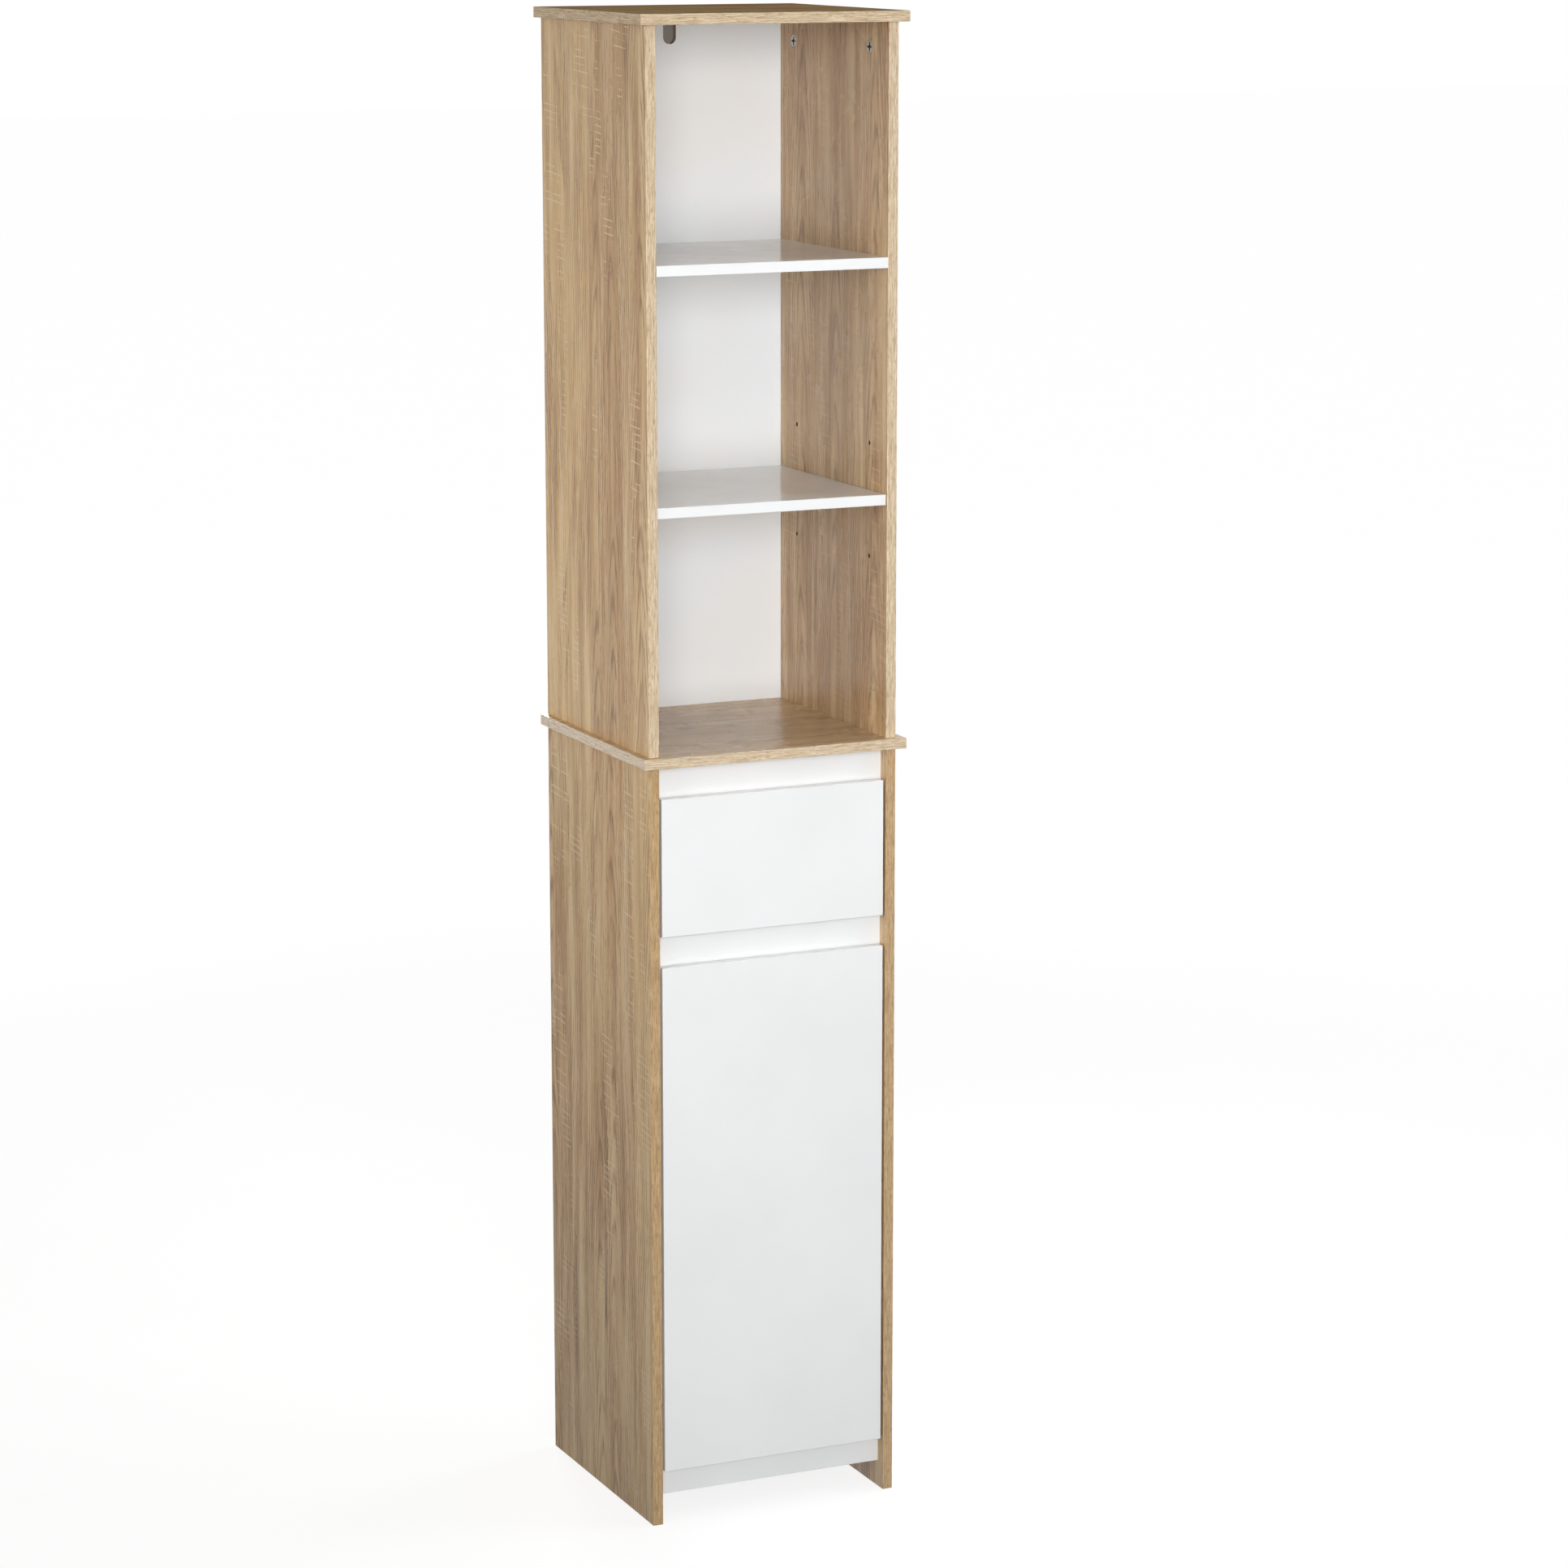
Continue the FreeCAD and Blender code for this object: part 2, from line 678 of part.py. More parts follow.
def hinge_ear(low):
    """One ear of a hinge cup, rounded about the pin."""
    round_end = rod(at(hinge_axis_x, hinge_axis_depth, low), Z_AXIS, hinge_knuckle_radius,
                    hinge_ear_thickness)
    web = block(hinge_cup_x, hinge_axis_x, hinge_axis_depth - hinge_knuckle_radius,
                hinge_axis_depth + hinge_knuckle_radius, low, low + hinge_ear_thickness)
    return fused([round_end, web])


def hinge_pin(height):
    """The pin through the two ears and the arm's knuckle."""
    half = hinge_ear_end + hinge_pin_overhang
    return rod(at(hinge_axis_x, hinge_axis_depth, height - half), Z_AXIS, hinge_pin_radius, 2 * half)


def hinge_arm(height):
    """A channel on the mounting plate, with a neck and knuckle that reach the pin."""
    outer_x = hinge_axis_x - hinge_neck_thickness / 2
    seat_x = inner_half - hinge_plate_thickness
    end = hinge_arm_start + hinge_arm_length
    body = block(outer_x, seat_x, hinge_arm_start, end, height - hinge_arm_half, height + hinge_arm_half)
    inside = block(outer_x + hinge_neck_thickness, seat_x, hinge_arm_start + hinge_arm_steel,
                   end - hinge_arm_steel, height - hinge_arm_half + hinge_arm_steel,
                   height + hinge_arm_half - hinge_arm_steel)
    neck = block(outer_x, outer_x + hinge_neck_thickness, hinge_axis_depth, hinge_arm_start,
                 height - hinge_arm_half, height + hinge_arm_half)
    low_end = at(hinge_axis_x, hinge_axis_depth, height - hinge_knuckle_half)
    knuckle = rod(low_end, Z_AXIS, hinge_knuckle_radius, 2 * hinge_knuckle_half)
    bore = rod(low_end, Z_AXIS, hinge_pin_radius + hinge_pin_play, 2 * hinge_knuckle_half)
    seat = at(outer_x, hinge_plate_screw_depth, height)
    hole = rod(seat, X_AXIS, screw_radius + fit_play, hinge_neck_thickness)
    pan_screw("hinge_arm_screws", seat, X_AXIS, seat_x - outer_x + hinge_plate_thickness / 2)
    return fused([body.cut(inside), neck, knuckle]).cut([bore, hole])


def hinge_plate(height):
    """A mounting plate on the inner face of the right side, held by two screws."""
    seat_x = inner_half - hinge_plate_thickness
    end = hinge_arm_start + hinge_arm_length
    base = block(seat_x, inner_half, hinge_arm_start, end, height - hinge_arm_half, height + hinge_arm_half)
    wings = block(seat_x, inner_half, hinge_plate_screw_depth - hinge_plate_half_depth,
                  hinge_plate_screw_depth + hinge_plate_half_depth, height - hinge_plate_half,
                  height + hinge_plate_half)
    bites = [rod(at(seat_x, hinge_plate_screw_depth, height), X_AXIS, screw_radius + fit_play,
                 hinge_plate_thickness)]
    for side in SIDES:
        seat = at(seat_x, hinge_plate_screw_depth, height + side * hinge_plate_screw_spread)
        pan_screw("hinge_plate_screws", seat, X_AXIS, hinge_screw_length, "lower_side_right",
                  through=hinge_plate_thickness)
        bites.append(rod(seat, X_AXIS, screw_radius + fit_play, hinge_plate_thickness))
    return fused([base, wings]).cut(bites)


def catch_pieces():
    """The magnetic catch on the left side and the strike plate on the door."""
    wall_x = -inner_half
    low, high = catch_height - catch_half, catch_height + catch_half
    housing = block(wall_x, wall_x + catch_width, catch_front, catch_front + catch_depth, low, high)
    pocket = block(wall_x + catch_wall, wall_x + catch_width - catch_wall, catch_front,
                   catch_front + catch_depth - catch_wall, low + 2 * catch_wall, high - 2 * catch_wall)
    magnet = block(wall_x + catch_wall, wall_x + catch_width - catch_wall, catch_front,
                   catch_front + catch_depth / 2, low + 2 * catch_wall, high - 2 * catch_wall)
    flange_depth = catch_front + catch_depth
    flange = block(wall_x, wall_x + catch_wall, flange_depth, flange_depth + catch_depth, low, high)
    bites = []
    for side in SIDES:
        seat = at(wall_x + catch_wall, flange_depth + catch_depth / 2, catch_height + side * catch_half / 2)
        pan_screw("catch_screws", seat, -X_AXIS, hinge_screw_length, "lower_side_left", through=catch_wall)
        bites.append(rod(seat, -X_AXIS, screw_radius + fit_play, catch_wall))
    strike_x = -front_half + strike_inset
    strike = block(strike_x, strike_x + strike_width, board, board + strike_thickness,
                   catch_height - strike_half, catch_height + strike_half)
    strike_holes = []
    for side in SIDES:
        mouth = at(strike_x + strike_width / 2, board + strike_thickness,
                   catch_height + side * strike_half / 2)
        sunk = cone(mouth, -Y_AXIS, screw_radius + strike_thickness / 2, screw_radius, strike_thickness / 2)
        shank = rod(mouth, -Y_AXIS, screw_radius, hinge_cup_screw_length)
        add_piece("strike_screws", slotted(fused([sunk, shank]), mouth, -Y_AXIS))
        strike_holes.append(cone(mouth, -Y_AXIS, screw_radius + strike_thickness / 2 + fit_play,
                                 screw_radius + fit_play, strike_thickness / 2))
        strike_holes.append(rod(mouth, -Y_AXIS, screw_radius + fit_play, strike_thickness))
        add_hole("door", rod(mouth - Y_AXIS * strike_thickness, -Y_AXIS, screw_radius + fit_play,
                             hinge_cup_screw_length - strike_thickness + dowel_bottoming))
    add_piece("catch_housing", fused([housing.cut(pocket), flange]).cut(bites))
    add_piece("catch_magnet", magnet)
    add_piece("strike_plate", strike.cut(strike_holes))


def wall_bracket():
    """A steel angle under the top panel, behind the notch, with a hole for a wall screw."""
    front = back_front + back_thickness + fit_play
    leaf = block(-bracket_half, bracket_half, front, side_depth, top_bottom - bracket_steel, top_bottom)
    plate = block(-bracket_half, bracket_half, side_depth - bracket_steel, side_depth,
                  top_bottom - bracket_drop, top_bottom)
    wall_hole = rod(at(0, side_depth - bracket_steel, top_bottom - bracket_hole_drop), Y_AXIS,
                    bracket_hole_radius, bracket_steel)
    bites = [wall_hole]
    screw_depth = (front + side_depth - bracket_steel) / 2
    for side in SIDES:
        seat = at(side * bracket_screw_spread, screw_depth, top_bottom - bracket_steel)
        pan_screw("wall_bracket_screws", seat, Z_AXIS, bracket_screw_length, "top_panel",
                  through=bracket_steel)
        bites.append(rod(seat, Z_AXIS, screw_radius + fit_play, bracket_steel))
    return fused([leaf, plate]).cut(bites)


def make_carcass():
    """Boards of the fixed cabinet."""
    add_piece("top_panel", cover_panel(top_bottom))
    add_piece("mid_panel", cover_panel(mid_bottom))
    for side in SIDES:
        add_piece(side_name("upper_side", side), side_board(side, mid_top, top_bottom))
        add_piece(side_name("lower_side", side), side_board(side, 0, mid_bottom))
    add_piece("upper_back_panel", back_panel(mid_top, top_bottom).cut(back_notch()))
    add_piece("lower_back_panel", back_panel(plinth_top - board, mid_bottom))
    add_piece("upper_fixed_shelf", fixed_shelf(fixed_bottom))
    add_piece("upper_adjustable_shelf", adjustable_shelf(adjustable_bottom, shelf_setback))
    lower_front = rail_depth + lower_shelf_setback
    add_piece("lower_adjustable_shelf", adjustable_shelf(lower_shelf_bottom, lower_front))
    shelf_pins("upper_shelf_pins", adjustable_bottom)
    shelf_pins("lower_shelf_pins", lower_shelf_bottom)
    add_piece("top_rail", rail(top_rail_bottom, mid_bottom))
    add_piece("middle_rail", rail(middle_rail_bottom, middle_rail_top))
    add_piece("plinth_rail", rail(toe_gap, plinth_top))
    add_piece("bottom_panel", block(-inner_half, inner_half, rail_depth + board, back_front,
                                    plinth_top - board, plinth_top))
    add_piece("wall_bracket", wall_bracket())
    upper_joints()
    lower_joints()


def make_drawer():
    """The drawer box, its front, its runners and the rollers."""
    add_piece("drawer_front", front_board(drawer_front_bottom, drawer_front_top))
    add_piece("drawer_back", drawer_back())
    add_piece("drawer_bottom", drawer_bottom())
    for side in SIDES:
        add_piece(side_name("drawer_side", side), drawer_side(side))
        add_piece(side_name("cabinet_runner", side), cabinet_runner(side))
        add_piece(side_name("drawer_runner", side), drawer_runner(side))
        add_piece("front_rollers", roller(side, front_roller_start, front_roller_depth))
        add_piece("rear_rollers", roller(side, runner_steel + roller_side_gap, rear_roller_depth))
        add_piece("front_roller_axles", front_axle(side))
        add_piece("rear_roller_axles", rear_axle(side))
    drawer_joints()


def make_door():
    """The door, its hinges and its catch."""
    add_piece("door", front_board(door_bottom, door_top))
    for height in hinge_heights:
        add_hole("door", hinge_notch(height))
        add_piece("hinge_cups", hinge_cup(height))
        add_piece("hinge_pins", hinge_pin(height))
        add_piece("hinge_arms", hinge_arm(height))
        add_piece("hinge_mounting_plates", hinge_plate(height))
    catch_pieces()


def write_nodes():
    """Cuts the joints' holes and writes one file per node."""
    os.makedirs("parts", exist_ok=True)
    for name, shapes in nodes.items():
        cutters = holes.get(name)
        solids = [solid for shape in shapes for solid in (shape.cut(cutters) if cutters else shape).Solids]
        shape = solids[0] if len(solids) == 1 else Part.makeCompound(solids)
        if not shape.isValid():
            raise ValueError("the shape of " + name + " is not valid")
        shape.exportStep("parts/" + name + ".step")
        print(name, len(solids), round(shape.Volume))


make_carcass()
make_drawer()
make_door()
write_nodes()
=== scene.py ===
"""Looks of the tall bathroom cabinet: materials, stage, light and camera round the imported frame."""
import json
import math
from collections import namedtuple
import bpy
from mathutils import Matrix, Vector


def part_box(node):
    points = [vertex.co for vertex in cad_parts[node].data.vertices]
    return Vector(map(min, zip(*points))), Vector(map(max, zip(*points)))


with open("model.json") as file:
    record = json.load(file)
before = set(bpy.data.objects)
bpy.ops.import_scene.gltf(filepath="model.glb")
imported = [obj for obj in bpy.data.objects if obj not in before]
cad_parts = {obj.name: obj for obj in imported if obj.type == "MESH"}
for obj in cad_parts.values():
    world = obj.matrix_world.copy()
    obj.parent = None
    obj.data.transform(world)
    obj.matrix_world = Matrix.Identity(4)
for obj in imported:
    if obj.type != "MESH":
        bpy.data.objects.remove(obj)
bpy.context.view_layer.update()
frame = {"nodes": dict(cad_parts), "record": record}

# The axes, and where the front edges of the sides lie on Y
X, Y, Z = 0, 1, 2
front_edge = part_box("upper_side_left")[0][Y]

# Camera: it stands to the front left, a little above the top, and looks down at the cabinet
camera_turn = math.radians(24.65)
camera_tilt = math.radians(11.28)
camera_distance = 5.0
camera_height = 1.8468
camera_aside = 0.0113
focal_pixels = 5625.66
picture_pixels = 1932
sensor_size = 36.0

# Oak decor: staves side by side, each with its own tone and figure
stave_width = 0.095
stave_shift = 3.7
seed_step = 1.7
sway_width = 0.024
left_seam = -0.098
right_seam = -0.057
oak_yellow = (0.640, 0.422, 0.190)
oak_grey = (0.615, 0.442, 0.242)
oak_red = (0.510, 0.315, 0.148)
oak_brown = (0.205, 0.102, 0.045)
oak_tick = (0.740, 0.585, 0.385)

# Growth rings: their spacing, how fast their arches close, how wavy they are and how deep the heart lies
ring_spacing = 0.0052
ring_taper = 0.085
ring_ripple = 0.004
heart_depth = 0.016

# Pale saw ticks: how dense they are, how far they lean and how unevenly they lie
ticks_per_metre = 130.0
tick_lean = 9.0
tick_scatter = 0.7
tick_seed = 0.4

# Edge bands, each with a light and a dark tone, the raw core of the boards, and the raw core in the holes
# darkened with painted shade
pale_band = ((0.720, 0.595, 0.430), (0.370, 0.245, 0.130))
brown_band = ((0.585, 0.415, 0.230), (0.300, 0.180, 0.085))
chip_light = (0.560, 0.430, 0.280)
chip_dark = (0.260, 0.170, 0.095)
hole_shade_brown = (0.060, 0.042, 0.028)

# A board's axes, a seam between its staves, its pattern, edge band, gloss, pale ticks and dark streaks
Board = namedtuple("Board", "grain thickness seam seed band satin ticks marks", defaults=((),))

# A dark streak in the decor: its depth behind the front edge, height, length, width and lean
Mark = namedtuple("Mark", "depth height length width lean", defaults=(0.0,))

# A dark streak starts to show this far outside its outline and is full this far inside
mark_blur = 0.0010
mark_core = 0.0030
mark_strength = 1.2

# Values that scramble a whole number into a random one
scramble_step = 12.9
scramble_size = 437.58

# Whites, metals, paints and raw woods
pure_white = (1.0, 1.0, 1.0)
white_board = (0.846, 0.855, 0.858)
white_shade = (0.811, 0.820, 0.823)
lacquer_white = (0.790, 0.843, 0.890)
powder_shade = (0.80, 0.80, 0.79)
plastic_shade = (0.78, 0.78, 0.76)
zinc_bright = (0.66, 0.66, 0.64)
zinc_dark = (0.50, 0.50, 0.49)
steel_bright = (0.74, 0.74, 0.73)
steel_dark = (0.60, 0.60, 0.61)
paint_light = (0.280, 0.260, 0.240)
paint_dark = (0.245, 0.228, 0.212)
ferrite_light = (0.085, 0.085, 0.088)
ferrite_dark = (0.060, 0.060, 0.062)
# Colour of the painted shade in the slots and along the rims of metal parts
painted_shade = (0.040, 0.038, 0.036)
fibre_light = (0.340, 0.215, 0.120)
fibre_dark = (0.180, 0.105, 0.055)
beech_light = (0.72, 0.52, 0.34)
beech_dark = (0.62, 0.42, 0.26)
beech_fleck = (0.42, 0.26, 0.15)

# Depths of the surface layers on a board, and the pitch of the screen pattern on raw hardboard
face_layer = 0.0003
band_layer = 0.0007
melamine_layer = 0.0004
screen_pitch = 0.0018

# Reach of the painted shade in slots, and on the cam locks in wider slots and along the rims
slot_shade_reach = 0.0010
cam_slot_shade_reach = 0.0030
cam_rim_shade_reach = 0.0014

# Floor: it glows white to the camera, a little less near the cabinet, where it is lit
floor_reach = 30.0
floor_light = (0.29, 0.29, 0.29)
floor_dark = (0.27, 0.27, 0.27)
near_floor = 0.5
far_floor = 3.5
near_floor_glow = 0.825
far_floor_glow = 0.94

# Soft light from all round: its level from the front, and the share of it from above and from behind
ambient_level = 0.42
overhead_share = 0.55
rear_share = 0.25


def rgba(colour):
    """A colour with full alpha."""
    return (*colour, 1.0)


class Tree:
    """Short calls that build the nodes of a new material, or of a world."""

    def __init__(self, name, world=None):
        self.owner = world or bpy.data.materials.new(name)
        self.owner.use_nodes = True
        self.nodes = self.owner.node_tree.nodes
        self.links = self.owner.node_tree.links
        self.shader = self.nodes.get("Principled BSDF")

    def feed(self, socket, value):
        """Links a socket, or sets its value."""
        if isinstance(value, bpy.types.NodeSocket):
            self.links.new(value, socket)
        else:
            socket.default_value = value

    def add(self, kind, inputs, **settings):
        """Adds a node with its settings and inputs."""
        node = self.nodes.new("ShaderNode" + kind)
        for key, value in settings.items():
            setattr(node, key, value)
        for key, value in inputs.items():
            self.feed(node.inputs[key], value)
        return node

    def math(self, operation, first, second=0.0):
        """One calculation on two numbers."""
        return self.add("Math", {0: first, 1: second}, operation=operation).outputs[0]

    def between(self, share, low, high):
        """The number at a share of the way from low to high."""
        return self.add("Math", {0: share, 1: high - low, 2: low}, operation="MULTIPLY_ADD").outputs[0]

    def ease(self, value, start, end):
        """Rises softly from 0 at start to 1 at end."""
        inputs = {"Value": value, "From Min": start, "From Max": end}
        return self.add("MapRange", inputs, interpolation_type="SMOOTHSTEP").outputs["Result"]

    def chance(self, number, seed):
        """A random number between 0 and 1 that belongs to a whole number and a seed."""
        wave = self.math("SINE", self.math("ADD", self.math("MULTIPLY", number, scramble_step), seed))
        return self.math("FRACT", self.math("MULTIPLY", wave, scramble_size))

    def blend(self, share, first, second):
        """A colour between two colours."""
        first = first if isinstance(first, bpy.types.NodeSocket) else rgba(first)
        second = second if isinstance(second, bpy.types.NodeSocket) else rgba(second)
        return self.add("Mix", {0: share, 6: first, 7: second}, data_type="RGBA").outputs[2]

    def tint(self, colour, other, factor, strength):
        """Moves a colour toward another by a factor times a strength, kept between 0 and 1."""
        share = self.add("Clamp", {"Value": self.math("MULTIPLY", factor, strength)}).outputs["Result"]
        return self.blend(share, colour, other)

    def noise(self, vector, scale, detail=2.0, roughness=0.5):
        """Smooth noise between 0 and 1."""
        inputs = {"Vector": vector, "Scale": scale, "Detail": detail, "Roughness": roughness}
        return self.add("TexNoise", inputs).outputs["Fac"]

    def position(self):
        """The place of a point on the piece, in metres."""
        return self.add("TexCoord", {}).outputs["Object"]

    def split(self, vector):
        """The three coordinates of a vector."""
        parts = self.add("SeparateXYZ", {"Vector": vector}).outputs
        return parts["X"], parts["Y"], parts["Z"]

    def join(self, first, second, third):
        """A vector from three numbers."""
        return self.add("CombineXYZ", {"X": first, "Y": second, "Z": third}).outputs["Vector"]

    def reach(self, first, second):
        """The distance of a point from the origin of a plane."""
        vector = self.join(first, second, 0.0)
        return self.add("VectorMath", {0: vector}, operation="LENGTH").outputs["Value"]

    def grain(self, point, long, wide, detail=2.0, roughness=0.5):
        """Noise drawn out along the grain, in spots of a length and a width."""
        steps = [self.math("DIVIDE", place, size) for place, size in zip(point, (long, wide, wide))]
        return self.noise(self.join(*steps), 1.0, detail, roughness)

    def bump(self, height, strength, distance):
        """Gives the surface a relief."""
        inputs = {"Height": height, "Strength": strength, "Distance": distance}
        self.feed(self.shader.inputs["Normal"], self.add("Bump", inputs).outputs["Normal"])

    def finish(self, colour, roughness, metallic=0.0):
        """Connects colour and roughness, and hands over the material."""
        self.feed(self.shader.inputs["Base Color"], colour)
        self.feed(self.shader.inputs["Roughness"], roughness)
        self.feed(self.shader.inputs["Metallic"], metallic)
        return self.owner


def near_planes(tree, value, low, high, layer):
    """1 close to either of two planes."""
    middle = (low + high) / 2
    offset = tree.math("ABSOLUTE", tree.math("SUBTRACT", value, middle))
    return tree.math("GREATER_THAN", offset, (high - low) / 2 - layer)


def stave_place(tree, along, across, through, board):
    """A point's stave, its offset from the stave's middle and its place in the swaying grain."""
    steps = tree.math("DIVIDE", tree.math("SUBTRACT", across, board.seam), stave_width)
    stave = tree.math("FLOOR", steps)
    offset = tree.between(tree.math("FRACT", steps), -stave_width / 2, stave_width / 2)
    length = tree.math("ADD", along, tree.math("MULTIPLY", stave, stave_shift))
    wander = tree.grain((length, across, through), long=0.30, wide=0.10)
    sway = tree.between(wander, -sway_width / 2, sway_width / 2)
    point = (length, tree.math("ADD", across, sway), through)
    return stave, tree.math("ADD", offset, sway), point


def oak_figure(tree, along, across, through, board):
    """Colour and relief of the oak decor on the broad faces of a board."""
    stave, offset, point = stave_place(tree, along, across, through, board)
    greyness, redness, heart = [tree.chance(stave, board.seed + seed_step * step) for step in range(3)]
    warmth = tree.grain(point, long=0.30, wide=0.026)
    warm = tree.ease(tree.math("ADD", warmth, tree.between(redness, -0.15, 0.15)), 0.38, 0.66)
    busy = tree.between(warm, 0.30, 1.0)
    for mark in board.marks:
        dark = tree.math("MULTIPLY", dark_mark(tree, along, point[1], mark), mark_strength)
        busy = tree.math("ADD", busy, dark)
    streak = tree.grain(point, long=0.40, wide=0.014, detail=3.0, roughness=0.6)
    fibre = tree.grain(point, long=0.090, wide=0.0036, detail=3.0, roughness=0.7)
    dark_fibre = tree.math("MULTIPLY", tree.ease(fibre, 0.50, 0.28), busy)
    pores = tree.ease(tree.grain(point, long=0.011, wide=0.0020, detail=1.0), 0.58, 0.70)
    spindles = tree.ease(tree.grain(point, long=0.26, wide=0.024), 0.62, 0.78)

    colour = tree.blend(greyness, oak_yellow, oak_grey)
    colour = tree.blend(warm, colour, oak_red)
    colour = tree.tint(colour, oak_brown, tree.ease(streak, 0.52, 0.34), 0.30)
    colour = tree.tint(colour, oak_tick, tree.ease(streak, 0.50, 0.66), 0.40)
    colour = tree.tint(colour, oak_brown, spindles, 0.20)
    colour = tree.tint(colour, oak_brown, growth_rings(tree, point, offset, heart), 0.70)
    colour = tree.tint(colour, oak_brown, tree.math("SUBTRACT", busy, 1.0), 0.45)
    colour = tree.tint(colour, oak_brown, dark_fibre, 0.68)
    colour = tree.tint(colour, oak_tick, tree.ease(fibre, 0.52, 0.70), 0.45)
    colour = tree.tint(colour, oak_brown, tree.math("MULTIPLY", pores, busy), 0.46)
    colour = tree.tint(colour, oak_tick, saw_ticks(tree, point[0], across, through), board.ticks)
    relief = tree.math("SUBTRACT", tree.math("MULTIPLY", fibre, 0.5), pores)
    return colour, relief


def growth_rings(tree, point, offset, heart):
    """Dark ring lines in nested arches along the heart of a stave."""
    side = tree.math("SUBTRACT", offset, tree.between(heart, -stave_width / 2, stave_width / 2))
    ripple = tree.math("MULTIPLY", tree.grain(point, long=0.08, wide=0.016), ring_ripple)
    taper = tree.math("MULTIPLY", point[0], ring_taper)
    radius = tree.math("ADD", tree.reach(side, heart_depth), tree.math("ADD", taper, ripple))
    part = tree.math("FRACT", tree.math("DIVIDE", radius, ring_spacing))
    line = tree.math("MULTIPLY", tree.ease(part, 0.40, 0.70), tree.ease(part, 0.98, 0.75))
    ragged = tree.ease(tree.grain(point, long=0.020, wide=0.0030), 0.30, 0.50)
    fade = tree.ease(tree.grain(point, long=0.25, wide=0.030), 0.38, 0.58)
    return tree.math("MULTIPLY", tree.math("MULTIPLY", line, ragged), fade)


def dark_mark(tree, along, across, mark):
    """A dark streak that tapers to both ends."""
    rise = tree.math("SUBTRACT", along, mark.height)
    step = tree.math("DIVIDE", rise, mark.length / 2)
    taper = tree.math("SUBTRACT", 1.0, tree.math("MULTIPLY", step, step))
    half_width = tree.math("MULTIPLY", taper, mark.width / 2)
    middle = tree.math("ADD", tree.math("MULTIPLY", rise, mark.lean), front_edge + mark.depth)
    aside = tree.math("ABSOLUTE", tree.math("SUBTRACT", across, middle))
    return tree.ease(tree.math("SUBTRACT", half_width, aside), -mark_blur, mark_core)


def saw_ticks(tree, along, across, through):
    """Short, thin, pale marks across the grain, in loose patches."""
    point = (along, across, through)
    lean = tree.math("MULTIPLY", across, tick_lean)
    phase = tree.math("SUBTRACT", tree.math("MULTIPLY", along, ticks_per_metre), lean)
    scatter = tree.math("MULTIPLY", tree.grain(point, long=0.080, wide=0.080, detail=1.0), tick_scatter)
    phase = tree.math("ADD", phase, scatter)
    wave = tree.math("SINE", tree.math("MULTIPLY", phase, 2 * math.pi))
    kept = tree.ease(tree.chance(tree.math("FLOOR", phase), tick_seed), 0.20, 0.50)
    patch = tree.ease(tree.grain(point, long=0.16, wide=0.044, detail=1.0), 0.56, 0.66)
    broken = tree.ease(tree.grain(point, long=0.006, wide=0.030, detail=1.0), 0.38, 0.50)
    shown = tree.math("MULTIPLY", tree.math("MULTIPLY", kept, patch), broken)
    return tree.math("MULTIPLY", tree.ease(wave, 0.70, 1.0), shown)


def oak_band(tree, along, across, tones):
    """Colour of the strip on the edges."""
    light, dark = tones
    point = (along, across, 0.0)
    fine = tree.grain(point, long=0.030, wide=0.0013, detail=3.0, roughness=0.6)
    dash = tree.grain(point, long=0.0085, wide=0.0010, detail=1.0)
    colour = tree.tint(light, dark, tree.ease(fine, 0.64, 0.34), 0.70)
    return tree.tint(colour, dark, tree.ease(dash, 0.52, 0.66), 0.60)


def chipboard(tree, position):
    """Colour of the raw core of a board."""
    chips = tree.add("TexVoronoi", {"Vector": position, "Scale": 420.0}).outputs["Color"]
    chip = tree.add("SeparateColor", {"Color": chips}).outputs["Red"]
    speck = tree.noise(position, scale=900.0)
    colour = tree.blend(chip, chip_light, chip_dark)
    return tree.blend(tree.ease(speck, 0.35, 0.70), chip_light, colour)


def oak_material(node, board):
    """Oak decor on the faces, a band on the edges, raw core at the rear and raw core darkened with painted
    shade in the holes.
    """
    low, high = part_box(node)
    grain, thickness = board.grain, board.thickness
    tree = Tree("oak_" + node)
    position = tree.position()
    place = tree.split(position)
    decor, relief = oak_figure(tree, place[grain], place[Y], place[thickness], board)
    face = near_planes(tree, place[thickness], low[thickness], high[thickness], face_layer)
    banded = tree.math("LESS_THAN", place[Y], low[Y] + band_layer)
    band = oak_band(tree, place[grain], place[thickness], board.band)
    if grain == X:
        ends = near_planes(tree, place[X], low[X], high[X], band_layer)
        band = tree.blend(ends, band, oak_band(tree, place[Y], place[thickness], board.band))
        banded = tree.math("MAXIMUM", banded, ends)
    raw_rear = tree.math("GREATER_THAN", place[Y], high[Y] - face_layer)
    # Raw core at the rear; elsewhere off the faces and bands, mostly inside the holes, a near-black brown
    # is painted shade
    colour = tree.blend(raw_rear, hole_shade_brown, chipboard(tree, position))
    colour = tree.blend(face, colour, decor)
    colour = tree.blend(banded, colour, band)
    haze = tree.noise(position, scale=9.0, detail=3.0)
    tree.bump(relief, strength=0.25, distance=0.0002)
    tree.shader.inputs["Specular IOR Level"].default_value = board.satin
    return tree.finish(colour, tree.between(haze, 0.20, 0.34))


